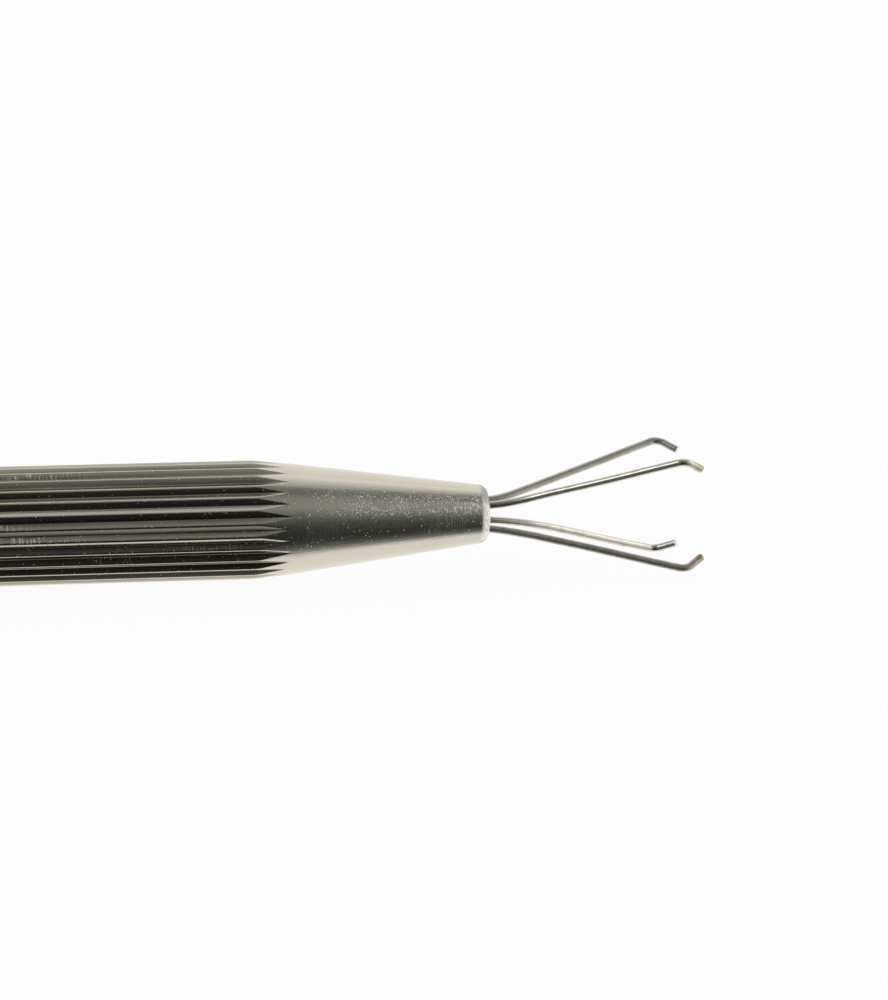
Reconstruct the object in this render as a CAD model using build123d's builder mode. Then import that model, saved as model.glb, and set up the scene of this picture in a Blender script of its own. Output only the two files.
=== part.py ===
from build123d import *
import math
import os

os.makedirs("parts", exist_ok=True)

# ---------------------------------------------------------------- driving dimensions (mm)
# T is measured along the tool's axis from the nose mouth, positive towards the claws.
R_BARREL = 4.0          # over the flute crests
L_BARREL = 88.0         # nose mouth to rear face
R_NOSE = 1.935          # cone radius at the mouth
L_CONE = 16.0           # cone length
T_WORN = -13.0          # the cone is a little fuller from here to the mouth
R_WORN = 3.66
NOSE_ROUND_L = 0.50     # worn rounding of the nose rim, along the axis
R_FACE = 1.71           # where that rounding meets the front face
SHOULDER_ROUND = 6.0    # soft change from the cone to the cylinder
WORN_ROUND = 60.0       # between the cone's two slopes
R_MOUTH = 1.65          # bore at the mouth
L_MOUTH = 1.0           # straight length of the mouth bore
R_BORE = 2.8            # main bore
T_BORE = -13.8          # where the bore's cone reaches the main bore
R_THREAD = 3.0          # rear counterbore for the guide bush
L_THREAD = 8.0
N_FLUTES = 28
FLUTE_DEPTH = 0.25
FLUTE_HALF_ANGLE = 60.0  # of the V
FLUTE_PHASE = 12.1      # direction of one flute's bottom, from -Y towards +Z
T_FLUTES_END = -72.0
T_RING = -75.0          # front edge of the ring groove
RING_W = 1.0
RING_DEPTH = 0.35

WIRE_R = 0.26
WIRE_PITCH_R = 1.0      # the four wires' distance from the axis inside the nose
HOOK_ANGLE = 57.0       # turn of the hook, inwards
HOOK_LENGTH = 1.645     # corner to tip
HOOK_BEND_R = 1.0
# claw: direction from -Y towards +Z, splay, T where the splay curve starts, length of the
# curve, length from the curve's start to the hook's corner, distance of its hinge behind the mouth
CLAWS = {
    "claw_1": (133.2, 21.45, -1.0, 3.46, 14.61, 1.5),
    "claw_2": (46.7, 20.2, -1.0, 4.34, 14.74, 1.5),
    "claw_3": (217.9, 24.6, -1.0, 6.01, 14.88, 1.2),
    "claw_4": (315.1, 17.1, -3.4, 7.02, 17.17, 3.5),
}
SHANK_GAP = 0.03        # between a claw's round end and its shank

T_CARRIER = -4.6        # front face of the claw carrier
T_CARRIER_NECK = -12.0
T_FLANGE = -15.2
T_CARRIER_END = -19.2
R_CARRIER = 1.75
R_FLANGE = 2.75
T_SHANK_END = -11.0
PIN_R = 0.4

ROD_R = 1.0
T_ROD = -14.2           # front end of the rod, inside the carrier
T_GUIDE = -32.0         # front guide
L_GUIDE = 4.0
GUIDE_HOLE_R = 1.05
WASHER_T = 0.4
WASHER_R = 2.4
SPRING_LENGTH = 20.0
SPRING_R = 1.9
SPRING_WIRE_R = 0.2
SPRING_TURNS = 16
CLIP_T = 0.5
CLIP_R = 2.0
CLIP_GROOVE_R = 0.8

BUSH_FLANGE_R = 4.2     # stands out past the barrel, with two flats level with it, so the tool doesn't roll
BUSH_FLANGE_T = 2.0
BUSH_FLATS = 8.0        # across the flats, above and below
BUTTON_GAP = 0.6
BUTTON_R = 3.0
BUTTON_L = 9.0
BUTTON_DOME = 0.9
BUTTON_BORE = 6.0
SCREW_R = 0.8

# ---------------------------------------------------------------- frame
AX_Z = R_BARREL         # the tool lies on its barrel, z = 0 is the lowest line
T_BUTTON = -(L_BARREL + BUSH_FLANGE_T + BUTTON_GAP)
T_REAR = T_BUTTON - BUTTON_L
T_TIPS = 14.64
X0 = -(T_REAR + T_TIPS) / 2   # x of the nose mouth, so that x = 0 is the middle of the tool

axis_x = Axis((0, 0, AX_Z), (1, 0, 0))


def profile_plane():
    return Plane(origin=(X0, 0, AX_Z), x_dir=(1, 0, 0), z_dir=(0, -1, 0))


def cross_plane(t):
    return Plane(origin=(X0 + t, 0, AX_Z), x_dir=(0, 1, 0), z_dir=(1, 0, 0))


def claw_plane(direction):
    a = math.radians(direction)
    return Plane(origin=(X0, 0, AX_Z), x_dir=(1, 0, 0), z_dir=(0, -math.sin(a), -math.cos(a)))


# ---------------------------------------------------------------- barrel
with BuildPart() as barrel:
    with BuildSketch(profile_plane()):
        with BuildLine():
            slope = (R_WORN - R_NOSE) / -T_WORN
            round_start = (-NOSE_ROUND_L, R_NOSE + slope * NOSE_ROUND_L)
            Line((0, R_MOUTH), (0, R_FACE))
            TangentArc(round_start, (0, R_FACE), tangent=(1, -slope))
            Polyline(
                round_start,
                (T_WORN, R_WORN),
                (-L_CONE, R_BARREL),
                (T_RING, R_BARREL),
                (T_RING - 0.15, R_BARREL - RING_DEPTH),
                (T_RING - RING_W + 0.15, R_BARREL - RING_DEPTH),
                (T_RING - RING_W, R_BARREL),
                (-L_BARREL + 0.4, R_BARREL),
                (-L_BARREL, R_BARREL - 0.4),
                (-L_BARREL, R_THREAD),
                (-L_BARREL + L_THREAD, R_THREAD),
                (-L_BARREL + L_THREAD, R_BORE),
                (T_BORE, R_BORE),
                (-L_MOUTH, R_MOUTH),
                (0, R_MOUTH),
            )
        make_face()
        shoulder = vertices().sort_by_distance((-L_CONE, R_BARREL, 0))[0]
        fillet(shoulder, SHOULDER_ROUND)
        knee = vertices().sort_by_distance((T_WORN, R_WORN, 0))[0]
        fillet(knee, WORN_ROUND)
    revolve(axis=axis_x)
    # V flutes, run out on the cone
    with BuildSketch(cross_plane(T_FLUTES_END)):
        w = (FLUTE_DEPTH + 0.3) * math.tan(math.radians(FLUTE_HALF_ANGLE))
        with PolarLocations(R_BARREL - FLUTE_DEPTH, N_FLUTES, start_angle=180 - FLUTE_PHASE):
            Polygon((0, 0), (FLUTE_DEPTH + 0.3, -w), (FLUTE_DEPTH + 0.3, w), align=None)
    extrude(amount=-T_FLUTES_END - 12.5, mode=Mode.SUBTRACT)
barrel.part.label = "barrel"
export_step(barrel.part, "parts/barrel.step")

# ---------------------------------------------------------------- front guide, fixed inside the barrel
with BuildPart() as front_guide:
    with BuildSketch(cross_plane(T_GUIDE - L_GUIDE)):
        Circle(R_BORE)
        Circle(GUIDE_HOLE_R, mode=Mode.SUBTRACT)
    extrude(amount=L_GUIDE)
    with BuildSketch(cross_plane(T_GUIDE - 0.8)):
        Circle(R_BORE)
        Circle(R_BORE - 0.15, mode=Mode.SUBTRACT)
    extrude(amount=-1.2, mode=Mode.SUBTRACT)
    rims = front_guide.edges().filter_by(GeomType.CIRCLE).filter_by(lambda e: abs(e.radius - R_BORE) < 1e-6)
    chamfer([rims.sort_by(Axis.X)[0], rims.sort_by(Axis.X)[-1]], 0.2)
front_guide.part.label = "front_guide"
export_step(front_guide.part, "parts/front_guide.step")

# ---------------------------------------------------------------- guide bush, screwed into the rear
with BuildPart() as guide_bush:
    with BuildSketch(cross_plane(-L_BARREL + L_THREAD)):
        Circle(R_THREAD)
    extrude(amount=-L_THREAD)
    with BuildSketch(cross_plane(-L_BARREL)):
        Circle(BUSH_FLANGE_R)
    extrude(amount=-BUSH_FLANGE_T)
    # undercut at the thread's start, and a clearance cavity behind the rod's bearing
    with BuildSketch(cross_plane(-L_BARREL + 1.0)):
        Circle(R_THREAD)
        Circle(R_THREAD - 0.3, mode=Mode.SUBTRACT)
    extrude(amount=-1.0, mode=Mode.SUBTRACT)
    with BuildSketch(cross_plane(-L_BARREL + L_THREAD)):
        Circle(1.7)
    extrude(amount=-4.0, mode=Mode.SUBTRACT)
    with BuildSketch(cross_plane(-L_BARREL + L_THREAD)):
        Circle(GUIDE_HOLE_R)
    extrude(amount=-L_THREAD - BUSH_FLANGE_T, mode=Mode.SUBTRACT)
    rear_rim = guide_bush.edges().filter_by(GeomType.CIRCLE).filter_by(
        lambda e: abs(e.radius - BUSH_FLANGE_R) < 1e-6).sort_by(Axis.X)[0]
    chamfer(rear_rim, 0.3)
    # two flats on the flange, for a spanner and to stop the tool rolling
    with Locations((X0 - L_BARREL - BUSH_FLANGE_T / 2, 0, AX_Z + BUSH_FLATS / 2 + 0.5),
                   (X0 - L_BARREL - BUSH_FLANGE_T / 2, 0, AX_Z - BUSH_FLATS / 2 - 0.5)):
        Box(BUSH_FLANGE_T, 2 * BUSH_FLANGE_R, 1.0, mode=Mode.SUBTRACT)
guide_bush.part.label = "guide_bush"
export_step(guide_bush.part, "parts/guide_bush.step")

# ---------------------------------------------------------------- push rod
T_CLIP = T_GUIDE - L_GUIDE - WASHER_T - SPRING_LENGTH - WASHER_T
ROD_END = T_BUTTON - BUTTON_BORE
with BuildPart() as push_rod:
    with BuildSketch(cross_plane(ROD_END)):
        Circle(ROD_R)
    extrude(amount=T_ROD - ROD_END)
    # groove for the retaining clip
    with BuildSketch(cross_plane(T_CLIP)):
        Circle(ROD_R)
        Circle(CLIP_GROOVE_R, mode=Mode.SUBTRACT)
    extrude(amount=-CLIP_T, mode=Mode.SUBTRACT)
    # cross hole for the carrier pin
    with Locations(Plane(origin=(X0 + T_FLANGE - 2.2, 0, AX_Z), x_dir=(1, 0, 0), z_dir=(0, 1, 0))):
        Cylinder(PIN_R, 2 * ROD_R + 1, mode=Mode.SUBTRACT)
    # flat for the grub screw
    with Locations((X0 + T_BUTTON - BUTTON_BORE / 2, 0, AX_Z + ROD_R)):
        Box(2.4, 2 * ROD_R, 0.4, mode=Mode.SUBTRACT)
    ends = push_rod.edges().filter_by(GeomType.CIRCLE).sort_by(Axis.X)
    chamfer([ends[0], ends[-1]], 0.15)
push_rod.part.label = "push_rod"
export_step(push_rod.part, "parts/push_rod.step")

# ---------------------------------------------------------------- push button
with BuildPart() as push_button:
    with BuildSketch(profile_plane()):
        with BuildLine():
            Polyline(
                (T_BUTTON, 0),
                (T_BUTTON, BUTTON_R),
                (T_BUTTON - 5.0, BUTTON_R),
                (T_BUTTON - 5.25, BUTTON_R - 0.25),
                (T_BUTTON - 5.75, BUTTON_R - 0.25),
                (T_BUTTON - 6.0, BUTTON_R),
                (T_BUTTON - BUTTON_L + BUTTON_DOME, BUTTON_R),
            )
            dome_r = (BUTTON_R**2 + BUTTON_DOME**2) / (2 * BUTTON_DOME)
            half = math.asin(BUTTON_R / dome_r) / 2
            ThreePointArc(
                (T_BUTTON - BUTTON_L + BUTTON_DOME, BUTTON_R),
                (T_BUTTON - BUTTON_L + dome_r * (1 - math.cos(half)), dome_r * math.sin(half)),
                (T_BUTTON - BUTTON_L, 0),
            )
            Line((T_BUTTON - BUTTON_L, 0), (T_BUTTON, 0))
        make_face()
        brow = vertices().sort_by_distance((T_BUTTON - BUTTON_L + BUTTON_DOME, BUTTON_R, 0))[0]
        fillet(brow, 0.4)
    revolve(axis=axis_x)
    with BuildSketch(cross_plane(T_BUTTON)):
        Circle(ROD_R)
    extrude(amount=-BUTTON_BORE, mode=Mode.SUBTRACT)
    with Locations(Plane(origin=(X0 + T_BUTTON - BUTTON_BORE / 2, 0, AX_Z + 2.0), z_dir=(0, 0, 1))):
        Cylinder(SCREW_R, 2.4, mode=Mode.SUBTRACT)
    front_rim = push_button.edges().filter_by(GeomType.CIRCLE).filter_by(
        lambda e: abs(e.radius - BUTTON_R) < 1e-6).sort_by(Axis.X)[-1]
    chamfer(front_rim, 0.3)
push_button.part.label = "push_button"
export_step(push_button.part, "parts/push_button.step")

# ---------------------------------------------------------------- grub screw in the button
SCREW_L = 1.9
with BuildPart() as button_set_screw:
    with Locations(Plane(origin=(X0 + T_BUTTON - BUTTON_BORE / 2, 0, AX_Z + ROD_R - 0.2 + SCREW_L / 2), z_dir=(0, 0, 1))):
        Cylinder(SCREW_R, SCREW_L)
    tip = button_set_screw.edges().filter_by(GeomType.CIRCLE).sort_by(Axis.Z)[0]
    chamfer(tip, 0.15)
    with Locations((X0 + T_BUTTON - BUTTON_BORE / 2, 0, AX_Z + ROD_R - 0.2 + SCREW_L)):
        Box(0.3, 2 * SCREW_R + 0.4, 1.0, mode=Mode.SUBTRACT)
button_set_screw.part.label = "button_set_screw"
export_step(button_set_screw.part, "parts/button_set_screw.step")

# ---------------------------------------------------------------- spring washers
T_WASHER_F = T_GUIDE - L_GUIDE
T_WASHER_R = T_WASHER_F - WASHER_T - SPRING_LENGTH
with BuildPart() as spring_washer_front:
    with BuildSketch(cross_plane(T_WASHER_F)):
        Circle(WASHER_R)
        Circle(GUIDE_HOLE_R + 0.05, mode=Mode.SUBTRACT)
    extrude(amount=-WASHER_T)
spring_washer_front.part.label = "spring_washer_front"
export_step(spring_washer_front.part, "parts/spring_washer_front.step")

with BuildPart() as spring_washer_rear:
    with BuildSketch(cross_plane(T_WASHER_R)):
        Circle(WASHER_R)
        Circle(ROD_R + 0.02, mode=Mode.SUBTRACT)
    extrude(amount=-WASHER_T)
spring_washer_rear.part.label = "spring_washer_rear"
export_step(spring_washer_rear.part, "parts/spring_washer_rear.step")

# ---------------------------------------------------------------- return spring
t_spring = T_WASHER_R + SPRING_WIRE_R + 0.02
spring_height = SPRING_LENGTH - 2 * SPRING_WIRE_R - 0.04
with BuildPart() as return_spring:
    with BuildLine():
        coil = Helix(
            pitch=spring_height / SPRING_TURNS,
            height=spring_height,
            radius=SPRING_R,
            center=(X0 + t_spring, 0, AX_Z),
            direction=(1, 0, 0),
        )
    with BuildSketch(Plane(origin=coil @ 0, z_dir=coil % 0)):
        Circle(SPRING_WIRE_R)
    sweep(path=coil, is_frenet=True)
return_spring.part.label = "return_spring"
export_step(return_spring.part, "parts/return_spring.step")

# ---------------------------------------------------------------- retaining clip
with BuildPart() as retaining_clip:
    with BuildSketch(cross_plane(T_CLIP)):
        Circle(CLIP_R)
        Circle(CLIP_GROOVE_R, mode=Mode.SUBTRACT)
        with Locations((0, CLIP_R)):
            Rectangle(1.3, 2 * CLIP_R, mode=Mode.SUBTRACT)
        with Locations((CLIP_R, 0), (-CLIP_R, 0)):
            Circle(0.5, mode=Mode.SUBTRACT)
    extrude(amount=-CLIP_T)
retaining_clip.part.label = "retaining_clip"
export_step(retaining_clip.part, "parts/retaining_clip.step")

# ---------------------------------------------------------------- claw carrier and its pin
with BuildPart() as claw_carrier:
    with BuildSketch(profile_plane()):
        with BuildLine():
            Polyline(
                (T_CARRIER, 0),
                (T_CARRIER, R_CARRIER - 0.25),
                (T_CARRIER - 0.25, R_CARRIER),
                (T_CARRIER_NECK, R_CARRIER),
                (T_FLANGE, R_FLANGE - 0.25),
                (T_FLANGE - 0.25, R_FLANGE),
                (T_CARRIER_END + 0.2, R_FLANGE),
                (T_CARRIER_END, R_FLANGE - 0.2),
                (T_CARRIER_END, 0),
                close=True,
            )
        make_face()
    revolve(axis=axis_x)
    with BuildSketch(cross_plane(T_CARRIER_END)):
        Circle(ROD_R)
    extrude(amount=T_ROD - T_CARRIER_END, mode=Mode.SUBTRACT)
    with BuildSketch(cross_plane(T_CARRIER)):
        for claw_sizes in CLAWS.values():
            a = math.radians(claw_sizes[0])
            with Locations((-WIRE_PITCH_R * math.cos(a), WIRE_PITCH_R * math.sin(a))):
                Circle(WIRE_R + 0.01)
    extrude(amount=-(T_CARRIER - T_SHANK_END), mode=Mode.SUBTRACT)
    with Locations(Plane(origin=(X0 + T_FLANGE - 2.2, 0, AX_Z), x_dir=(1, 0, 0), z_dir=(0, 1, 0))):
        Cylinder(PIN_R, 2 * R_FLANGE + 1, mode=Mode.SUBTRACT)
claw_carrier.part.label = "claw_carrier"
export_step(claw_carrier.part, "parts/claw_carrier.step")

with BuildPart() as carrier_pin:
    with Locations(Plane(origin=(X0 + T_FLANGE - 2.2, 0, AX_Z), x_dir=(1, 0, 0), z_dir=(0, 1, 0))):
        Cylinder(PIN_R, 2 * R_FLANGE - 0.3)
    chamfer(carrier_pin.edges().filter_by(GeomType.CIRCLE), 0.08)
carrier_pin.part.label = "carrier_pin"
export_step(carrier_pin.part, "parts/carrier_pin.step")

# ---------------------------------------------------------------- claws: wires with hooked ends
for name, (direction, splay, t_curve, curve, length, hinge) in CLAWS.items():
    al = math.radians(splay)
    be = al - math.radians(HOOK_ANGLE)
    bend = curve / al
    u1 = (math.cos(al), math.sin(al))
    u2 = (math.cos(be), math.sin(be))
    p_hinge = (-hinge, WIRE_PITCH_R)
    p_curve = (t_curve, WIRE_PITCH_R)
    p_straight = (t_curve + bend * math.sin(al), WIRE_PITCH_R + bend * (1 - math.cos(al)))
    corner = (p_straight[0] + (length - curve) * u1[0], p_straight[1] + (length - curve) * u1[1])
    cut = HOOK_BEND_R * math.tan(math.radians(HOOK_ANGLE) / 2)
    bend_in = (corner[0] - cut * u1[0], corner[1] - cut * u1[1])
    bend_out = (corner[0] + cut * u2[0], corner[1] + cut * u2[1])
    hook_tip = (corner[0] + HOOK_LENGTH * u2[0], corner[1] + HOOK_LENGTH * u2[1])
    plane = claw_plane(direction)
    with BuildPart() as claw:
        with BuildLine(plane) as centre_line:
            Line(p_hinge, p_curve)
            TangentArc(p_curve, p_straight, tangent=(1, 0))
            Line(p_straight, bend_in)
            TangentArc(bend_in, bend_out, tangent=u1)
            Line(bend_out, hook_tip)
        with BuildSketch(Plane(origin=centre_line.wires()[0] @ 0, z_dir=(1, 0, 0))):
            Circle(WIRE_R)
        sweep(path=centre_line.wires()[0])
        # round end, centred on the hinge
        with Locations(plane.from_local_coords(Vector(p_hinge[0], p_hinge[1], 0))):
            Sphere(WIRE_R)
    claw.part.label = name
    export_step(claw.part, f"parts/{name}.step")

    a = math.radians(direction)
    with BuildPart() as shank:
        with BuildSketch(cross_plane(T_SHANK_END)):
            with Locations((-WIRE_PITCH_R * math.cos(a), WIRE_PITCH_R * math.sin(a))):
                Circle(WIRE_R)
        extrude(amount=-hinge - WIRE_R - SHANK_GAP - T_SHANK_END)
    shank.part.label = name + "_shank"
    export_step(shank.part, f"parts/{name}_shank.step")
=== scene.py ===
import math

import bpy
import numpy as np
from mathutils import Matrix, Vector


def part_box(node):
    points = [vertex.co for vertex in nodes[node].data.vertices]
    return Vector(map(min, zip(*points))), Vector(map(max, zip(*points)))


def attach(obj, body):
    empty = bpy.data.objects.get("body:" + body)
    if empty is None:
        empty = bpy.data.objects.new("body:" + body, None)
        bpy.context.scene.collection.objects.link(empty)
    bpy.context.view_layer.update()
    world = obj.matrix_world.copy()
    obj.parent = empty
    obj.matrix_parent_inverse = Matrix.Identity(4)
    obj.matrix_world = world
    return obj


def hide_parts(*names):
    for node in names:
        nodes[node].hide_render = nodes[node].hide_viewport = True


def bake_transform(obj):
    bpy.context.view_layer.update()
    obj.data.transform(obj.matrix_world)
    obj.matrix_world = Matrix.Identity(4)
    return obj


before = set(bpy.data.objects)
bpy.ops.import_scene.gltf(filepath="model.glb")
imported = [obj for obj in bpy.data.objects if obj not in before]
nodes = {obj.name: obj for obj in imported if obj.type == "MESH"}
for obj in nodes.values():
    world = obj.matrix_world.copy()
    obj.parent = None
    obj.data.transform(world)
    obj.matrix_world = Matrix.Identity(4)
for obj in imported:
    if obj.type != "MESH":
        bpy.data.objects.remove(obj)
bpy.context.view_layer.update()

MM = 0.001
rng = np.random.RandomState(28)

# ------------------------------------------------------------------ where the CAD is
barrel_lo, barrel_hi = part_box("barrel")
X0 = barrel_hi.x / MM                       # nose mouth, mm
AXZ = (barrel_lo.z + barrel_hi.z) / 2 / MM  # height of the tool's axis, mm
REAR = barrel_lo.x / MM - X0                # T of the barrel's rear face (T runs from the mouth)

# the same sizes as the CAD, in mm
R_BARREL, R_NOSE, L_CONE = 4.0, 1.935, 16.0
T_WORN, R_WORN = -13.0, 3.66                # the cone is a little fuller behind this point
SHOULDER_ROUND, NOSE_ROUND_L = 6.0, 0.50
R_MOUTH, R_BORE, T_BORE = 1.65, 2.8, -13.8
N_FLUTES, FLUTE_DEPTH, FLUTE_HALF, FLUTE_PHASE = 28, 0.25, 60.0, 12.1
T_FLUTES_END = -72.0
WIRE_R, PITCH_R = 0.26, 1.0
HOOK_ANGLE, HOOK_BEND = 57.0, 1.0
CLAWS = {
    "claw_1": (133.2, 21.45, -1.0, 3.46, 14.61, 1.5),
    "claw_2": (46.7, 20.2, -1.0, 4.34, 14.74, 1.5),
    "claw_3": (217.9, 24.6, -1.0, 6.01, 14.88, 1.2),
    "claw_4": (315.1, 17.1, -3.4, 7.02, 17.17, 3.5),
}
# how each wire strays sideways where it leaves the mouth, and how bright or dull it is
STRAY = {"claw_1": 0.0, "claw_2": 0.085, "claw_3": 0.06, "claw_4": 0.0}
DULL = {"claw_1": 0.5, "claw_2": 0.0, "claw_3": 0.0, "claw_4": 1.0}
TARNISH = {"claw_1": 0.15, "claw_2": 1.0, "claw_3": 0.0, "claw_4": 1.0}
HOOKS = {"claw_1": 1.61, "claw_2": 1.55, "claw_3": 1.62, "claw_4": 1.54}      # each cut a little differently
T_SHANK_END = -11.0


# ------------------------------------------------------------------ mesh helpers
def smoothstep(a, b, x):
    t = np.clip((x - a) / (b - a), 0.0, 1.0)
    return t * t * (3 - 2 * t)


def mesh_object(name, verts, faces, attributes=None):
    me = bpy.data.meshes.new(name)
    me.from_pydata([tuple(v) for v in verts], [], faces)
    me.validate()
    me.polygons.foreach_set("use_smooth", [True] * len(me.polygons))
    for key, values in (attributes or {}).items():
        at = me.attributes.new(key, "FLOAT", "POINT")
        at.data.foreach_set("value", np.asarray(values, np.float32))
    me.update()
    ob = bpy.data.objects.new(name, me)
    bpy.context.scene.collection.objects.link(ob)
    return ob


def ring_faces(rings, n, closed_v=False):
    """Quads between successive rings of n points."""
    faces = []
    last = rings if closed_v else rings - 1
    for i in range(last):
        a, b = i * n, ((i + 1) % rings) * n
        for j in range(n):
            k = (j + 1) % n
            faces.append((a + j, a + k, b + k, b + j))
    return faces


def to_row(t, r, angle):
    """Point at T, radius and direction (radians, from -Y towards +Z), in metres."""
    return np.stack([
        (X0 + t) * MM,
        -r * np.cos(angle) * MM,
        (AXZ + r * np.sin(angle)) * MM,
    ], axis=-1)


# ------------------------------------------------------------------ barrel
def outer_profile(t):
    """Radius of the barrel before the flutes are cut."""
    front = (R_WORN - R_NOSE) / -T_WORN
    back = (R_BARREL - R_WORN) / (L_CONE + T_WORN)
    cone = np.minimum(R_NOSE - front * t, R_WORN - back * (t - T_WORN))
    # soft change from cone to cylinder: an arc tangent to both
    half = math.atan(back) / 2
    reach = SHOULDER_ROUND * math.tan(half)
    end = -L_CONE - reach
    start = -L_CONE + reach * math.cos(2 * half)
    arc = R_BARREL - SHOULDER_ROUND + np.sqrt(np.maximum(SHOULDER_ROUND ** 2 - (t - end) ** 2, 0.0))
    r = np.where(t <= end, R_BARREL, np.where(t >= start, cone, arc))
    # ring groove
    d = np.abs(t + 75.5)
    r = r - 0.35 * (1 - smoothstep(0.33, 0.5, d))
    return np.minimum(r, R_BARREL)


def build_barrel():
    # T positions along the outside
    def span(a, b, step):
        n = max(2, int(round(abs(a - b) / step)) + 1)
        return list(np.linspace(a, b, n)[:-1])

    # worn, rounded rim: from the bore's edge over the face to the cone
    slope = (R_WORN - R_NOSE) / -T_WORN
    p0 = np.array([-NOSE_ROUND_L, R_NOSE + slope * NOSE_ROUND_L])
    q = np.array([0.0, 1.71])
    inward = np.array([-slope, -1.0]) / math.hypot(slope, 1.0)
    pq = q - p0
    rho = (pq @ pq) / (2 * inward @ pq)
    centre = p0 + inward * rho
    a0 = math.atan2(*(p0 - centre)[::-1])
    a1 = math.atan2(*(q - centre)[::-1])
    rim = [(-0.04, R_MOUTH), (-0.012, R_MOUTH + 0.008), (0.0, R_MOUTH + 0.022)]
    for a in np.linspace(a1, a0, 15):
        rim.append((centre[0] + rho * math.cos(a), centre[1] + rho * math.sin(a)))
    t_start = rim[-1][0] - 0.1
    ts = span(t_start, -12.9, 0.35) + span(-12.9, -17.4, 0.05) + span(-17.4, T_FLUTES_END + 1.2, 0.8)
    ts += span(T_FLUTES_END + 1.2, T_FLUTES_END - 0.2, 0.05) + span(T_FLUTES_END - 0.2, -74.8, 0.5)
    ts += span(-74.8, -76.2, 0.05) + span(-76.2, REAR + 0.5, 0.6)
    ts = np.array(ts)

    per = 24
    n = per * N_FLUTES
    theta = np.arange(n) * 2 * math.pi / n + math.radians(FLUTE_PHASE)
    j = np.arange(n)
    flute = np.round(j / per).astype(int) % N_FLUTES
    phi = (j / per - np.round(j / per)) * 2 * math.pi / N_FLUTES
    # each flute is cut a little differently
    deep = FLUTE_DEPTH + rng.uniform(-0.010, 0.010, N_FLUTES)[flute]
    half = math.radians(FLUTE_HALF)
    tan = math.tan(half)
    root = R_BARREL - deep
    soft = np.sqrt(np.sin(phi) ** 2 + 0.006 ** 2)          # slightly rounded root
    groove = root / (np.cos(phi) - soft / tan)

    rings, depth = [], []
    for t in ts:
        base = float(outer_profile(np.array(t)))
        g = groove.copy()
        # the cutter lifts out at the rear end of the flutes
        lift = max(0.0, (T_FLUTES_END + 0.55) - t)
        if t < T_FLUTES_END + 0.55:
            g = g + lift * 0.75
        k = 0.022                                            # rounded crests
        h = np.clip(0.5 + 0.5 * (base - g) / k, 0, 1)
        r = base * (1 - h) + g * h - k * h * (1 - h)
        r = np.minimum(r, base)
        rings.append(r)
        depth.append(base - r)
    # cutter chatter: faint cross marks on one flank of some flutes, fading out along the flute
    signed = (flute + N_FLUTES // 2) % N_FLUTES - N_FLUTES // 2
    reach = {4: (-70, -31, -25.0), 0: (-70, -35, -28.5), -1: (-70, -32, -25.5), -2: (-21.5, -19.0, -14.6),
             2: (-50, -44, -38), -4: (-62, -50, -40), 7: (-70, -30, -20), -8: (-55, -35, -24), 10: (-70, -48, -36),
             -11: (-60, -30, -20), 12: (-40, -28, -18)}
    begin = np.array([reach.get(k, (-99, -99, -98))[0] for k in signed])
    full = np.array([reach.get(k, (-99, -99, -98))[1] for k in signed])
    stop = np.array([reach.get(k, (-99, -99, -98))[2] for k in signed])
    upper = np.isin(signed, (4, -8, 10))
    flank = smoothstep(0.004, 0.03, np.where(upper, phi, -phi)) * np.where(signed == -2, 0.3, 1.0)
    verts, at_depth, at_chat, at_t = [], [], [], []

    def add(t, r, d=None):
        r = np.full(n, r) if np.isscalar(r) else r
        verts.append(to_row(np.full(n, t), r, theta))
        at_depth.append(np.zeros(n) if d is None else d)
        at_t.append(np.full(n, t))
        fade = (1 - smoothstep(full, stop, np.full(n, float(t)))) * smoothstep(begin - 1.5, begin + 1.5, np.full(n, float(t)))
        at_chat.append(fade * flank if d is not None else np.zeros(n))

    # bore first, from the rear to the mouth, then the rim, the outside and the rear face
    add(REAR, 3.0)
    add(REAR + 7.95, 3.0)
    add(REAR + 8.0, R_BORE + 0.15)
    add(REAR + 8.05, R_BORE)
    add(T_BORE - 12.0, R_BORE)
    add(T_BORE, R_BORE)
    for f in (0.25, 0.5, 0.75):
        add(T_BORE + f * (-1.0 - T_BORE), R_BORE + f * (R_MOUTH - R_BORE))
    add(-1.0, R_MOUTH)
    add(-0.6, R_MOUTH)
    add(-0.3, R_MOUTH)
    for t, r in rim:
        add(t, r)
    for t, r, d in zip(ts, rings, depth):
        add(t, r, d)
    for t, r in ((REAR + 0.42, R_BARREL), (REAR + 0.36, R_BARREL - 0.02), (REAR + 0.04, R_BARREL - 0.34),
                 (REAR, R_BARREL - 0.42), (REAR, 3.5), (REAR, 3.05)):
        add(t, r)
    count = len(verts)
    v = np.concatenate(verts)
    faces = ring_faces(count, n, closed_v=True)
    faces = [f[::-1] for f in faces]
    return mesh_object("barrel_shell", v, faces, {
        "depth": np.concatenate(at_depth) / FLUTE_DEPTH,
        "chatter": np.concatenate(at_chat),
        "along": np.concatenate(at_t),
    })


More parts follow.
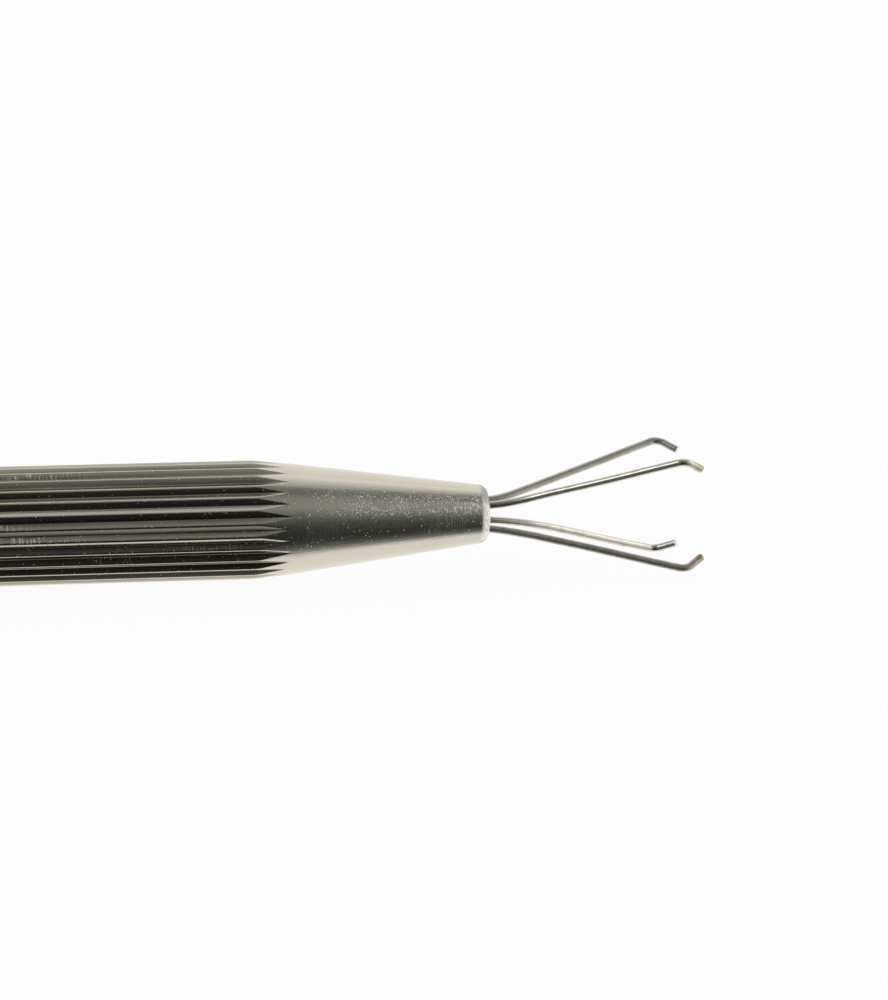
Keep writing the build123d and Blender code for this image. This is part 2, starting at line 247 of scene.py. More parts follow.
# ------------------------------------------------------------------ wires
def wire_path(splay, t_curve, curve, length, hook, step=0.12):
    al = math.radians(splay)
    be = al - math.radians(HOOK_ANGLE)
    bend = curve / al
    pts = [(T_SHANK_END + s, PITCH_R) for s in np.arange(0, -T_SHANK_END + t_curve, 0.5)]
    for s in np.linspace(0, curve, max(8, int(curve / step)))[:-1]:
        pts.append((t_curve + bend * math.sin(s / bend), PITCH_R + bend * (1 - math.cos(s / bend))))
    p = (t_curve + bend * math.sin(al), PITCH_R + bend * (1 - math.cos(al)))
    corner = (p[0] + (length - curve) * math.cos(al), p[1] + (length - curve) * math.sin(al))
    cut = HOOK_BEND * math.tan(math.radians(HOOK_ANGLE) / 2)
    run = length - curve - cut
    for s in np.linspace(0, run, int(run / 0.5))[:-1]:
        pts.append((p[0] + s * math.cos(al), p[1] + s * math.sin(al)))
    # hook bend: its centre is on the inner side of the wire
    b0 = (corner[0] - cut * math.cos(al), corner[1] - cut * math.sin(al))
    cx, cy = b0[0] + HOOK_BEND * math.sin(al), b0[1] - HOOK_BEND * math.cos(al)
    for f in np.linspace(0, 1, 14):
        a = al - f * math.radians(HOOK_ANGLE)
        pts.append((cx - HOOK_BEND * math.sin(a), cy + HOOK_BEND * math.cos(a)))
    b1 = pts[-1]
    end = (corner[0] + hook * math.cos(be), corner[1] + hook * math.sin(be))
    for f in (0.25, 0.5, 0.75, 1.0):
        pts.append((b1[0] + f * (end[0] - b1[0]), b1[1] + f * (end[1] - b1[1])))
    return np.array(pts)


def tube(name, path, radii, normal, seg=24, end_round=0.05, dull=0.3, tarnish=0.0):
    """A round wire along a path of 3-D points (mm). normal is constant for a flat path."""
    path = np.asarray(path, float)
    tangent = np.gradient(path, axis=0)
    tangent[0], tangent[-1] = path[1] - path[0], path[-1] - path[-2]
    tangent /= np.linalg.norm(tangent, axis=1)[:, None]
    length = np.concatenate([[0], np.cumsum(np.linalg.norm(np.diff(path, axis=0), axis=1))])
    ang = np.arange(seg) * 2 * math.pi / seg
    verts, s_at, a_at = [], [], []

    def ring(p, tg, r, s):
        b = np.cross(tg, normal)
        b /= np.linalg.norm(b)
        for a in ang:
            verts.append(p + r * (math.cos(a) * normal + math.sin(a) * b))
            s_at.append(s)
            a_at.append(a)

    rad = radii if callable(radii) else (lambda s: radii)
    # flat cut ends with a small edge rounding
    for k, (inset, back) in enumerate(((0.5, 0.0), (0.85, 0.0), (0.96, 0.25), (1.0, 1.0))):
        ring(path[0] + tangent[0] * end_round * back, tangent[0], rad(0) * inset, 0.0)
    for i in range(1, len(path) - 1):
        ring(path[i], tangent[i], rad(length[i]), length[i])
    for inset, back in ((1.0, 1.0), (0.96, 0.25), (0.85, 0.0), (0.5, 0.0)):
        ring(path[-1] - tangent[-1] * end_round * back, tangent[-1], rad(length[-1]) * inset, length[-1])
    rings = len(verts) // seg
    faces = ring_faces(rings, seg)
    verts.append(path[0]); s_at.append(0.0); a_at.append(0.0)
    verts.append(path[-1]); s_at.append(length[-1]); a_at.append(0.0)
    c0, c1 = len(verts) - 2, len(verts) - 1
    for j in range(seg):
        k = (j + 1) % seg
        faces.append((c0, k, j))
        faces.append((c1, (rings - 1) * seg + j, (rings - 1) * seg + k))
    total = length[-1]
    ob = mesh_object(name, np.array(verts) * MM, faces, {
        "along": np.array(s_at), "to_tip": total - np.array(s_at), "around": np.array(a_at) / (2 * math.pi),
        "dull": np.full(len(s_at), dull), "tarnish": np.full(len(s_at), tarnish)})
    me = ob.data
    # outward normals
    import bmesh
    bm = bmesh.new()
    bm.from_mesh(me)
    bmesh.ops.recalc_face_normals(bm, faces=bm.faces)
    bm.to_mesh(me)
    bm.free()
    return ob


def build_claw(name):
    direction, splay, t_curve, curve, length, hinge = CLAWS[name]
    a = math.radians(direction)
    e = np.array([0.0, -math.cos(a), math.sin(a)])
    n = np.array([0.0, -math.sin(a), -math.cos(a)])
    pts2 = wire_path(splay, t_curve, curve, length, HOOKS[name])
    # a hand-bent wire is never quite straight
    s = np.concatenate([[0], np.cumsum(np.linalg.norm(np.diff(pts2, axis=0), axis=1))])
    free = smoothstep(10.5, 14.0, s) * (1 - smoothstep(s[-1] - 3.0, s[-1] - 1.0, s))
    k = int(name[-1])
    side = 0.020 * free * np.sin(s * 0.55 + 1.7 * k)
    lift = 0.007 * free * np.sin(s * 0.8 + 0.9 * k)
    side += STRAY[name] * smoothstep(-3.2, 0.0, pts2[:, 0]) * (1 - smoothstep(0.6, 4.0, pts2[:, 0]))
    centre = np.array([X0, 0.0, AXZ])
    path = centre + np.outer(pts2[:, 0], [1.0, 0, 0]) + np.outer(pts2[:, 1] + lift, e) + np.outer(side, n)
    ob = tube(name + "_wire", path, WIRE_R, n, dull=DULL[name], tarnish=TARNISH[name])
    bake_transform(ob)
    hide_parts(name, name + "_shank")
    return ob


def build_spring():
    lo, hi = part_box("return_spring")
    x1, x0 = hi.x / MM, lo.x / MM
    wire, rad = 0.2, 1.9
    turns = 17.0
    n = int(turns * 36)
    u = np.linspace(0, turns, n + 1)
    closed = 1.0                                    # closed coil at each end
    body = turns - 2 * closed
    length = (x1 - x0) - 2 * wire
    pitch_end = 2 * wire
    rise = np.where(u < closed, u * pitch_end,
                    np.where(u > turns - closed, length - (turns - u) * pitch_end,
                             closed * pitch_end + (u - closed) / body * (length - 2 * closed * pitch_end)))
    a = 2 * math.pi * u
    path = np.stack([x1 - wire - rise, -rad * np.cos(a), AXZ + rad * np.sin(a)], axis=-1)
    tangent = np.gradient(path, axis=0)
    tangent /= np.linalg.norm(tangent, axis=1)[:, None]
    seg = 12
    ang = np.arange(seg) * 2 * math.pi / seg
    verts, s_at = [], []
    for i, p in enumerate(path):
        out = np.array([0, -math.cos(a[i]), math.sin(a[i])])
        b = np.cross(tangent[i], out)
        for w in ang:
            verts.append(p + wire * (math.cos(w) * out + math.sin(w) * b))
            s_at.append(u[i])
    faces = ring_faces(len(path), seg)
    verts.append(path[0]); verts.append(path[-1]); s_at += [0, turns]
    c0, c1 = len(verts) - 2, len(verts) - 1
    last = (len(path) - 1) * seg
    for j in range(seg):
        k = (j + 1) % seg
        faces.append((c0, k, j))
        faces.append((c1, last + j, last + k))
    ob = mesh_object("return_spring_coil", np.array(verts) * MM, faces, {"along": np.array(s_at)})
    import bmesh
    bm = bmesh.new()
    bm.from_mesh(ob.data)
    bmesh.ops.recalc_face_normals(bm, faces=bm.faces)
    bm.to_mesh(ob.data)
    bm.free()
    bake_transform(ob)
    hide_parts("return_spring")
    return ob


# ------------------------------------------------------------------ materials
def new_material(name):
    m = bpy.data.materials.new(name)
    m.use_nodes = True
    nt = m.node_tree
    for nd in list(nt.nodes):
        nt.nodes.remove(nd)
    out = nt.nodes.new("ShaderNodeOutputMaterial")
    bs = nt.nodes.new("ShaderNodeBsdfPrincipled")
    nt.links.new(bs.outputs[0], out.inputs[0])
    return m, nt, bs


class Graph:
    def __init__(self, nt):
        self.nt = nt

    def node(self, kind, **props):
        n = self.nt.nodes.new(kind)
        for k, v in props.items():
            setattr(n, k, v)
        return n

    def put(self, socket, value):
        if isinstance(value, bpy.types.NodeSocket):
            self.nt.links.new(value, socket)
        else:
            socket.default_value = value

    def math(self, op, a, b=0.0, c=None, clamp=False):
        n = self.node("ShaderNodeMath", operation=op, use_clamp=clamp)
        self.put(n.inputs[0], a)
        self.put(n.inputs[1], b)
        if c is not None:
            self.put(n.inputs[2], c)
        return n.outputs[0]

    def mix(self, f, a, b):
        n = self.node("ShaderNodeMix", data_type="RGBA")
        self.put(n.inputs["Factor"], f)
        self.put(n.inputs[6], a)
        self.put(n.inputs[7], b)
        return n.outputs[2]

    def mixf(self, f, a, b):
        n = self.node("ShaderNodeMix", data_type="FLOAT")
        self.put(n.inputs["Factor"], f)
        self.put(n.inputs[2], a)
        self.put(n.inputs[3], b)
        return n.outputs[0]

    def remap(self, x, a, b, c=0.0, d=1.0):
        n = self.node("ShaderNodeMapRange", clamp=True)
        n.interpolation_type = "SMOOTHSTEP"
        self.put(n.inputs[0], x)
        for i, v in zip((1, 2, 3, 4), (a, b, c, d)):
            n.inputs[i].default_value = v
        return n.outputs[0]

    def noise(self, vec=None, scale=5.0, detail=2.0, rough=0.5, dims="3D", w=None, distort=0.0):
        n = self.node("ShaderNodeTexNoise", noise_dimensions=dims)
        if vec is not None:
            self.put(n.inputs["Vector"], vec)
        if w is not None:
            self.put(n.inputs["W"], w)
        n.inputs["Scale"].default_value = scale
        n.inputs["Detail"].default_value = detail
        n.inputs["Roughness"].default_value = rough
        n.inputs["Distortion"].default_value = distort
        return n.outputs[0]

    def voronoi(self, vec, scale, feature="F1", rand=1.0):
        n = self.node("ShaderNodeTexVoronoi", feature=feature)
        self.put(n.inputs["Vector"], vec)
        n.inputs["Scale"].default_value = scale
        n.inputs["Randomness"].default_value = rand
        return n

    def attribute(self, name):
        return self.node("ShaderNodeAttribute", attribute_name=name).outputs["Fac"]

    def bump(self, height, strength, distance, normal=None):
        n = self.node("ShaderNodeBump")
        n.inputs["Strength"].default_value = strength
        n.inputs["Distance"].default_value = distance
        self.put(n.inputs["Height"], height)
        if normal is not None:
            self.put(n.inputs["Normal"], normal)
        return n.outputs[0]

    def position(self):
        """Object coordinates in mm."""
        tc = self.node("ShaderNodeTexCoord").outputs["Object"]
        sc = self.node("ShaderNodeVectorMath", operation="SCALE")
        self.put(sc.inputs[0], tc)
        sc.inputs["Scale"].default_value = 1000.0
        return sc.outputs[0]

    def stretch(self, vec, sx, sy, sz):
        n = self.node("ShaderNodeVectorMath", operation="MULTIPLY")
        self.put(n.inputs[0], vec)
        n.inputs[1].default_value = (sx, sy, sz)
        return n.outputs[0]

    def split(self, vec):
        n = self.node("ShaderNodeSeparateXYZ")
        self.put(n.inputs[0], vec)
        return n.outputs


def nickel_barrel():
    m, nt, bs = new_material("nickel_plating_worn")
    g = Graph(nt)
    p = g.position()
    x = g.split(p)[0]
    depth = g.attribute("depth")
    chat = g.attribute("chatter")
    along = g.attribute("along")
    cone = g.remap(along, -14.6, -13.9)                       # 1 on the plain cone
    nose = g.remap(along, -0.62, -0.30)                       # 1 on the worn rim
    in_flute = g.remap(depth, 0.04, 0.30)
    # marks: fine rings left by turning, and faint polishing streaks along the tool
    wob = g.noise(g.stretch(p, 0.5, 0.6, 0.6), 1.0, 2, 0.5)
    xw = g.math("ADD", x, g.math("MULTIPLY", wob, 0.10))
    lathe = g.noise(dims="1D", w=g.math("MULTIPLY", xw, 9.0), scale=1.0, detail=3, rough=0.65)
    lathe_on = g.remap(g.noise(g.stretch(p, 0.22, 0.5, 0.5), 1.0, 2, 0.5), 0.42, 0.62)
    streak = g.noise(g.stretch(p, 0.30, 6.5, 6.5), 1.0, 4, 0.62)
    drawn = g.noise(g.stretch(p, 0.12, 13.0, 13.0), 1.0, 2, 0.5)
    grain = g.noise(p, 15.0, 2, 0.6)
    # direction round the tool, degrees from -Y towards +Z; the cone is most worn along one side
    xyz = g.split(p)
    psi = g.math("MULTIPLY", g.math("ARCTAN2", g.math("SUBTRACT", xyz[2], AXZ), g.math("MULTIPLY", xyz[1], -1.0)), 180 / math.pi)
    scuff = g.math("MULTIPLY", g.remap(psi, 4.0, 20.0), g.remap(psi, 34.0, 50.0, 1.0, 0.0))
    scuff_back = g.math("MULTIPLY", g.remap(psi, -176.0, -150.0), g.remap(psi, -140.0, -100.0, 1.0, 0.0))
    scuffed = g.math("MULTIPLY", g.math("MAXIMUM", scuff, scuff_back), g.math("MULTIPLY", cone, g.remap(along, -13.2, -10.8)))
    # pinholes in the plating, in patches
    vor = g.voronoi(p, 7.2)
    pick = g.node("ShaderNodeSeparateColor")
    g.put(pick.inputs[0], vor.outputs["Color"])
    patch = g.remap(g.noise(g.stretch(p, 0.45, 0.8, 0.8), 1.0, 3, 0.6), 0.40, 0.66)
    more = g.math("ADD", g.math("MULTIPLY", patch, 0.17), g.math("MULTIPLY", scuffed, g.math("MULTIPLY", patch, 0.50)))
    chosen = g.math("GREATER_THAN", g.math("ADD", pick.outputs[0], more), 0.94)
    dot = g.remap(vor.outputs["Distance"], 0.10, 0.40, 1.0, 0.0)
    # a second, finer layer of nicks, only where the cone is scuffed
    nick = g.voronoi(p, 11.0)
    pick_nick = g.node("ShaderNodeSeparateColor")
    g.put(pick_nick.inputs[0], nick.outputs["Color"])
    cluster = g.remap(g.noise(g.stretch(p, 0.55, 0.9, 0.9), 1.0, 2, 0.5, distort=0.4), 0.42, 0.60)
    nicks = g.math("MULTIPLY", g.remap(nick.outputs["Distance"], 0.12, 0.50, 1.0, 0.0),
                   g.math("GREATER_THAN", g.math("ADD", pick_nick.outputs[0], g.math("MULTIPLY", g.math("MULTIPLY", cluster, scuffed), 0.46)), 1.0))
    pits = g.math("MULTIPLY", g.math("MULTIPLY", dot, chosen), g.mixf(in_flute, 1.0, 0.6))
    # flecks: real pinholes and nicks, painted near-white as glints
    fleck_and_glint = g.math("MAXIMUM", g.math("MULTIPLY", pits, g.remap(pick.outputs[1], 0.0, 1.0, 0.25, 1.0)), nicks)
    # colour: warm nickel, a browner film in the flutes
    clean = g.mix(g.noise(g.stretch(p, 0.25, 0.7, 0.7), 1.0, 3, 0.55), (0.70, 0.682, 0.60, 1), (0.645, 0.615, 0.52, 1))
    film = g.math("MULTIPLY", g.remap(depth, 0.15, 0.85), g.remap(g.noise(g.stretch(p, 0.06, 1.3, 1.3), 1.0, 3, 0.55), 0.25, 0.75, 0.45, 1.0))
    c1 = g.mix(film, clean, (0.29, 0.236, 0.165, 1))
    tick_w = g.math("ADD", g.math("MULTIPLY", x, 2 * math.pi / 0.27), g.math("MULTIPLY", g.noise(dims="1D", w=x, scale=1.7, detail=2), 11.0))
    tick = g.math("MULTIPLY", g.remap(g.math("SINE", tick_w), -0.1, 0.9), chat)
    tick = g.math("MULTIPLY", tick, g.remap(g.noise(g.stretch(p, 1.6, 2.0, 2.0), 1.0, 2, 0.5), 0.35, 0.6))
    c2 = g.mix(g.math("MULTIPLY", tick, 0.72), c1, (0.86, 0.86, 0.82, 1))
    # the rim: a painted highlight, bright white on the side towards -Y (about -60 to 30 degrees round the tool), grey
    # elsewhere
    painted_rim_highlight = g.math("MULTIPLY", g.remap(psi, 22.0, 36.0, 1.0, 0.0), g.remap(psi, -70.0, -50.0))
    edge = g.noise(g.stretch(p, 5.0, 5.0, 5.0), 1.0, 3, 0.6)
    painted_rim_highlight = g.remap(g.math("ADD", painted_rim_highlight, g.math("MULTIPLY", g.math("SUBTRACT", edge, 0.5), 1.3)), 0.35, 0.65)
    mottle = g.remap(g.noise(g.stretch(p, 8.0, 6.0, 6.0), 1.0, 3, 0.65), 0.34, 0.50)
    rim_col = g.mix(painted_rim_highlight, (0.40, 0.40, 0.40, 1), g.mix(mottle, (0.52, 0.51, 0.48, 1), (1.0, 0.99, 0.96, 1)))
    c3 = g.mix(nose, c2, rim_col)
    # short scratches across the worn side of the cone, and the flecks: real marks, painted near-white as highlights and
    # glints
    scratch_and_highlight = g.noise(g.stretch(p, 15.0, 4.5, 4.5), 1.0, 2, 0.6)
    scratch_and_highlight = g.math("MULTIPLY", g.remap(scratch_and_highlight, 0.49, 0.63), scuffed)
    c4 = g.mix(g.math("MULTIPLY", scratch_and_highlight, g.remap(along, -6.5, -1.0, 0.20, 0.80)), c3, (0.93, 0.92, 0.86, 1))
    c5 = g.mix(fleck_and_glint, c4, (1.0, 1.0, 0.95, 1))
    g.put(bs.inputs["Base Color"], c5)
    # metal gives way to diffuse white under the flecks, scratches and rim, where glints and highlights are painted
    torn_and_highlight = g.math("MAXIMUM", g.math("MULTIPLY", fleck_and_glint, g.mixf(scuffed, 0.22, 1.0)), g.math("MULTIPLY", scratch_and_highlight, g.remap(along, -5.5, -0.8, 0.06, 0.80)))
    # the painted rim highlight also turns the rim's metal into diffuse white
    torn_and_highlight = g.math("MAXIMUM", torn_and_highlight, g.math("MULTIPLY", g.math("MULTIPLY", nose, painted_rim_highlight), 0.65))
    g.put(bs.inputs["Metallic"], g.math("SUBTRACT", 1.0, torn_and_highlight))
    r1 = g.remap(grain, 0.3, 0.7, 0.07, 0.15)
    r2 = g.mixf(in_flute, r1, g.math("ADD", r1, 0.02))
    r3 = g.math("ADD", r2, g.math("MULTIPLY", tick, 0.40))
    r4 = g.math("ADD", g.math("ADD", r3, g.math("MULTIPLY", scratch_and_highlight, 0.22)), g.math("MULTIPLY", fleck_and_glint, 0.5))
    g.put(bs.inputs["Roughness"], g.mixf(nose, r4, g.mixf(painted_rim_highlight, 0.22, 0.45)))
    # bumps
    rings = g.math("MULTIPLY", lathe, g.mixf(nose, lathe_on, 1.0))
    cone_marks = g.math("ADD", g.math("MULTIPLY", rings, 0.60), g.math("MULTIPLY", streak, 1.5))
    marks = g.mixf(cone, g.math("MULTIPLY", drawn, 0.30), cone_marks)
    n1 = g.bump(marks, 0.40, 0.000012)
    fine = g.noise(g.stretch(p, 9.0, 13.0, 13.0), 1.0, 2, 0.6)
    n2 = g.bump(g.math("MULTIPLY", fine, g.mixf(cone, 0.25, g.mixf(scuffed, 0.40, 1.0))), 1.0, 0.000007, n1)
    n3 = g.bump(tick, 0.5, 0.00001, n2)
    n4 = g.bump(g.math("MULTIPLY", pits, -1.0), 0.5, 0.000008, n3)
    chips = g.math("MULTIPLY", g.noise(p, 7.0, 3, 0.6), nose)
    g.put(bs.inputs["Normal"], g.bump(chips, 0.9, 0.00006, n4))
    return m


def turned_metal(name, light, dark, rough=(0.14, 0.28), ring=7.0, axis=0, bump=0.4):
    """Turned or ground metal: marks around the tool's axis, fine grain and a little staining."""
    m, nt, bs = new_material(name)
    g = Graph(nt)
    p = g.position()
    x = g.split(p)[axis]
    wob = g.noise(g.stretch(p, 0.5, 0.6, 0.6), 1.0, 2, 0.5)
    xw = g.math("ADD", x, g.math("MULTIPLY", wob, 0.1))
    lathe = g.noise(dims="1D", w=g.math("MULTIPLY", xw, ring), scale=1.0, detail=3, rough=0.65)
    grain = g.noise(p, 12.0, 3, 0.65)
    stain = g.remap(g.noise(g.stretch(p, 0.6, 0.9, 0.9), 1.0, 4, 0.6), 0.40, 0.68)
    col = g.mix(stain, light, dark)
    speck = g.remap(g.voronoi(p, 4.5).outputs["Distance"], 0.04, 0.16, 0.55, 0.0)
    g.put(bs.inputs["Base Color"], g.mix(g.math("MULTIPLY", speck, stain), col, (0.12, 0.10, 0.08, 1)))
    bs.inputs["Metallic"].default_value = 1.0
    g.put(bs.inputs["Roughness"], g.math("ADD", g.remap(grain, 0.3, 0.7, rough[0], rough[1]), g.math("MULTIPLY", stain, 0.08)))
    n1 = g.bump(lathe, bump, 0.00002)
    g.put(bs.inputs["Normal"], g.bump(grain, 0.35, 0.000015, n1))
    return m


def wire_steel():
    m, nt, bs = new_material("spring_wire_steel")
    g = Graph(nt)
    s = g.attribute("along")
    a = g.attribute("around")
    tip = g.attribute("to_tip")
    v = g.node("ShaderNodeCombineXYZ")
    g.put(v.inputs[0], g.math("MULTIPLY", s, 0.6))
    g.put(v.inputs[1], g.math("MULTIPLY", g.math("SINE", g.math("MULTIPLY", a, 2 * math.pi)), 1.6))
    g.put(v.inputs[2], g.math("MULTIPLY", g.math("COSINE", g.math("MULTIPLY", a, 2 * math.pi)), 1.6))
    drawn = g.noise(v.outputs[0], 2.2, 1, 0.5)
    p = g.position()
    grain = g.noise(p, 14.0, 3, 0.6)
    patch = g.remap(g.noise(p, 1.3, 3, 0.6), 0.45, 0.7)
    dull = g.attribute("dull")
    bright = g.mix(patch, (0.74, 0.725, 0.65, 1), (0.62, 0.60, 0.52, 1))
    steel = g.mix(dull, bright, g.mix(patch, (0.56, 0.54, 0.475, 1), (0.44, 0.42, 0.355, 1)))
    brown = g.math("MULTIPLY", g.remap(tip, 0.3, 1.9, 1.0, 0.0), g.remap(g.noise(p, 2.4, 3, 0.6), 0.35, 0.6, 0.35, 1.0))
    tarnish = g.attribute("tarnish")
    tinted = g.mix(g.math("MULTIPLY", g.math("MULTIPLY", brown, tarnish), 0.6), steel, (0.30, 0.20, 0.11, 1))
    # the ends that aren't tarnished are freshly cut; their end faces are also painted near-white and less metallic as a
    # highlight
    cut = g.math("MULTIPLY", g.remap(tip, 0.0, 0.05, 1.0, 0.0), g.math("SUBTRACT", 1.0, tarnish))
    g.put(bs.inputs["Base Color"], g.mix(cut, tinted, (0.95, 0.95, 0.94, 1)))
    g.put(bs.inputs["Metallic"], g.math("SUBTRACT", 1.0, g.math("MULTIPLY", cut, 0.7)))
    g.put(bs.inputs["Roughness"], g.math("ADD", g.remap(drawn, 0.3, 0.7, 0.15, 0.24), g.math("MULTIPLY", dull, 0.15)))
    n1 = g.bump(drawn, 0.35, 0.000006)
    g.put(bs.inputs["Normal"], g.bump(g.noise(p, 6.0, 1, 0.5), 0.25, 0.000006, n1))
    return m


# ------------------------------------------------------------------ the object
barrel = build_barrel()
barrel.data.materials.append(nickel_barrel())
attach(barrel, "barrel")
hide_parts("barrel")

steel_wire = wire_steel()
for claw in CLAWS:
    build_claw(claw).data.materials.append(steel_wire)
build_spring().data.materials.append(steel_wire)

nickel_turned = turned_metal("nickel_plating_turned", (0.70, 0.665, 0.60, 1), (0.60, 0.55, 0.47, 1))
steel_turned = turned_metal("steel_turned", (0.58, 0.575, 0.56, 1), (0.42, 0.40, 0.37, 1), rough=(0.18, 0.32))
brass_turned = turned_metal("brass_turned", (0.80, 0.62, 0.30, 1), (0.55, 0.38, 0.15, 1), rough=(0.2, 0.34))
dark_spring = turned_metal("blued_steel", (0.30, 0.30, 0.31, 1), (0.18, 0.16, 0.15, 1), rough=(0.22, 0.36))
by_node = {
    "guide_bush": nickel_turned, "push_button": nickel_turned,
    "push_rod": steel_turned, "carrier_pin": steel_turned, "button_set_screw": steel_turned,
    "spring_washer_front": steel_turned, "spring_washer_rear": steel_turned,
    "front_guide": brass_turned, "claw_carrier": brass_turned, "retaining_clip": dark_spring,
}
for name, mat in by_node.items():
    me = nodes[name].data
    me.materials.clear()
    me.materials.append(mat)

# ------------------------------------------------------------------ floor, light, world
WHITE = (0.97, 0.97, 0.975, 1)


def build_floor():
    n = 24
    xs = np.linspace(-2.5, 2.5, n)
    verts = [(x, y, -0.00002) for y in xs for x in xs]
    faces = [(i * n + j, i * n + j + 1, (i + 1) * n + j + 1, (i + 1) * n + j) for i in range(n - 1) for j in range(n - 1)]
    ob = mesh_object("floor", verts, faces)
    m, nt, bs = new_material("pale_floor")
    g = Graph(nt)
    nt.nodes.remove(bs)
    out = [x for x in nt.nodes if x.type == "OUTPUT_MATERIAL"][0]
    em = g.node("ShaderNodeEmission")
    em.inputs[0].default_value = WHITE
    em.inputs[1].default_value = 0.972
    df = g.node("ShaderNodeBsdfDiffuse")
    df.inputs[0].default_value = (0.06, 0.06, 0.06, 1)
    add = g.node("ShaderNodeAddShader")
    nt.links.new(em.outputs[0], add.inputs[0])
    nt.links.new(df.outputs[0], add.inputs[1])
    nt.links.new(add.outputs[0], out.inputs[0])
    ob.data.materials.append(m)
    ob.visible_glossy = False
    return ob


build_floor()

# the room as the polished metal sees it: radiance against the angle round the tool's axis,
# counted from 10 degrees above the horizon on the -Y side, positive upwards.
# each room has a dark strip on its far side. ROOM_CONE is met by surfaces that lean towards the claws, ROOM_SIDE by the straight barrel
ROOM_CONE = [(-180, 0.10), (-175, 0.15), (-167, 0.98), (-131, 1.0), (-110, 0.97), (-93, 0.96), (-86, 0.82), (-79, 0.46), (-66, 0.13), (-54, 0.05),
             (-43, 0.03), (-21, 0.045), (-10, 0.075), (0, 0.13), (10, 0.19), (16, 0.24), (26, 0.30), (43, 0.28), (60, 0.18),
             (66, 0.22), (79, 0.38), (93, 0.64), (110, 0.90), (131, 0.98), (167, 0.98), (175, 0.15), (180, 0.10)]
ROOM_SIDE = [(-180, 0.10), (-175, 0.15), (-167, 0.98), (-131, 1.02), (-110, 1.0), (-93, 0.76), (-86, 0.46), (-79, 0.21), (-66, 0.07), (-54, 0.012),
             (-38, 0.016), (-20, 0.018), (0, 0.022), (12, 0.05), (22, 0.15), (34, 0.19), (47, 0.25), (64, 0.22),
             (78, 0.32), (93, 0.44), (110, 0.62), (131, 0.92), (167, 0.98), (175, 0.15), (180, 0.10)]


def build_world():
    w = bpy.data.worlds.new("studio")
    bpy.context.scene.world = w
    w.use_nodes = True
    nt = w.node_tree
    for nd in list(nt.nodes):
        nt.nodes.remove(nd)
    g = Graph(nt)
    out = g.node("ShaderNodeOutputWorld")
    tc = g.node("ShaderNodeTexCoord").outputs["Generated"]
    sep = g.split(tc)
    ang = g.math("ARCTAN2", sep[2], g.math("MULTIPLY", sep[1], -1.0))
    deg = g.math("SUBTRACT", g.math("MULTIPLY", ang, 180 / math.pi), 10.0)
    wrapped = g.math("WRAP", deg, 180.0, -180.0)
    place = g.math("DIVIDE", g.math("ADD", wrapped, 180.0), 360.0)

    def room_curve(table):
        ramp = g.node("ShaderNodeFloatCurve")
        cv = ramp.mapping.curves[0]
        pts = [((a + 180) / 360.0, v / 1.2) for a, v in table]
        cv.points[0].location = pts[0]
        cv.points[1].location = pts[-1]
        for p in pts[1:-1]:
            cv.points.new(*p)
        for p in cv.points:
            p.handle_type = "AUTO_CLAMPED"
        ramp.mapping.update()
        g.put(ramp.inputs["Value"], place)
        return g.math("MULTIPLY", ramp.outputs[0], 1.2)

    ring = g.mixf(g.remap(sep[0], 0.20, 0.31), room_curve(ROOM_SIDE), room_curve(ROOM_CONE))
    # towards the claws the room is paler, and behind the tool there is soft grey
    ring = g.mixf(g.remap(sep[0], 0.42, 0.56), ring, g.math("MAXIMUM", ring, 0.42))
    ring = g.mixf(g.remap(g.math("MULTIPLY", sep[0], -1.0), -0.08, 0.12), ring, g.math("MAXIMUM", ring, 0.13))
    # two pale windows, one behind the tool and one beyond the claws, that light the wires
    lift = g.remap(wrapped, 22.0, 36.0)
    left = g.math("MULTIPLY", g.remap(g.math("MULTIPLY", sep[0], -1.0), 0.24, 0.36), g.math("MULTIPLY", g.remap(wrapped, 8.0, 22.0), g.remap(wrapped, 50.0, 66.0, 1.0, 0.0)))
    right = g.math("MULTIPLY", g.remap(sep[0], 0.66, 0.76), g.math("MULTIPLY", lift, g.remap(wrapped, 105.0, 125.0, 1.0, 0.0)))
    ring = g.mixf(left, ring, 1.8)
    # beyond the claws: a bright wall below, a greyer one above; behind the button: even soft grey
    front = g.remap(sep[0], 0.62, 0.92)
    pane = right
    rear = g.remap(g.math("MULTIPLY", sep[0], -1.0), 0.62, 0.95)
    wall = g.remap(sep[2], 0.10, 0.42, 1.10, 0.36)
    level = g.mixf(rear, g.mixf(pane, g.mixf(front, ring, wall), 1.5), 0.55)
    bg_room = g.node("ShaderNodeBackground")
    g.put(bg_room.inputs[1], level)
    g.put(bg_room.inputs[0], g.mix(g.remap(level, 0.25, 0.85), (0.985, 1.0, 0.965, 1), (1.0, 0.968, 0.94, 1)))
    bg_cam = g.node("ShaderNodeBackground")
    bg_cam.inputs[0].default_value = WHITE
    bg_cam.inputs[1].default_value = 1.0
    lp = g.node("ShaderNodeLightPath")
    mx = g.node("ShaderNodeMixShader")
    g.put(mx.inputs[0], lp.outputs["Is Camera Ray"])
    nt.links.new(bg_room.outputs[0], mx.inputs[1])
    nt.links.new(bg_cam.outputs[0], mx.inputs[2])
    nt.links.new(mx.outputs[0], out.inputs[0])


build_world()


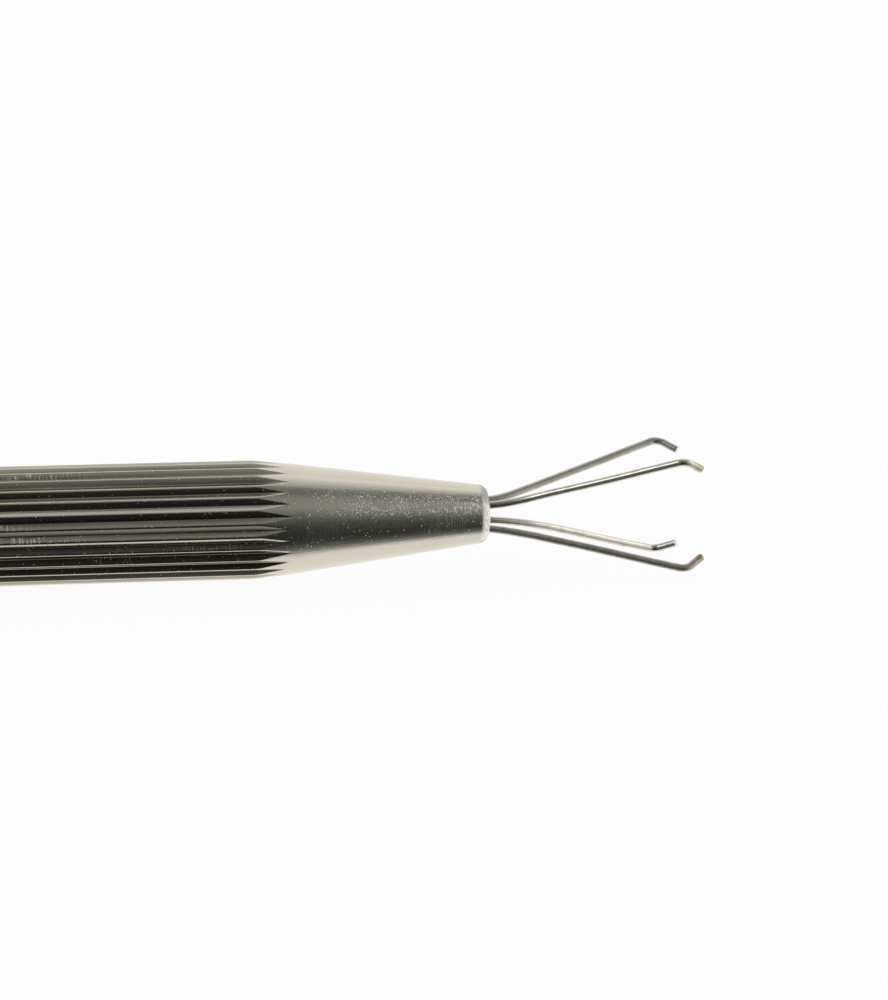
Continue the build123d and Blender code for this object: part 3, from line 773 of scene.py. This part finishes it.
def area_light(name, location, target, size, energy, color=(1, 1, 1)):
    li = bpy.data.lights.new(name, "AREA")
    li.shape = "RECTANGLE"
    li.size, li.size_y = size
    li.energy = energy
    li.color = color
    ob = bpy.data.objects.new(name, li)
    bpy.context.scene.collection.objects.link(ob)
    ob.location = location
    d = Vector(target) - Vector(location)
    ob.rotation_euler = d.to_track_quat("-Z", "Y").to_euler()
    return ob


area_light("softbox_top", (0.03, 0.10, 0.55), (0.03, 0, 0.004), (0.5, 0.35), 0.09, (1.0, 0.985, 0.96))

# ------------------------------------------------------------------ camera
def build_camera():
    f, depth = 5202.5, 352.87 * MM
    yaw, roll, elev = math.radians(10.65), math.radians(1.49), math.radians(10.0)
    a = np.array([math.cos(yaw) * math.cos(roll), -math.cos(yaw) * math.sin(roll), math.sin(yaw)])
    u = np.array([0.0, -1.0, 0.0])
    u = u - a * (u @ a)
    u /= np.linalg.norm(u)
    v = np.cross(a, u)
    ra = np.array([1.0, 0, 0])
    ru = np.array([0.0, math.sin(elev), math.cos(elev)])
    rv = np.array([0.0, -math.cos(elev), math.sin(elev)])
    R = np.outer(ra, a) + np.outer(ru, u) + np.outer(rv, v)
    tip = np.array([(497.0 - 444) * depth / f, (513.30 - 500) * depth / f, depth]) - 0.8 * MM * a
    mouth = np.array([X0 * MM, 0, AXZ * MM])
    pos = mouth - R @ tip
    right, up, fwd = R @ [1, 0, 0], R @ [0, -1, 0], R @ [0, 0, 1]
    cam = bpy.data.cameras.new("camera")
    cam.sensor_width = 36.0
    cam.sensor_fit = "AUTO"
    cam.lens = f / 1000.0 * 36.0
    cam.clip_start, cam.clip_end = 0.01, 20.0
    ob = bpy.data.objects.new("camera", cam)
    bpy.context.scene.collection.objects.link(ob)
    m = Matrix.Identity(4)
    for i in range(3):
        m[i][0], m[i][1], m[i][2], m[i][3] = right[i], up[i], -fwd[i], pos[i]
    ob.matrix_world = m
    bpy.context.scene.camera = ob


build_camera()
bpy.context.scene.view_settings.view_transform = "Standard"
bpy.context.scene.view_settings.look = "None"

bpy.context.view_layer.update()
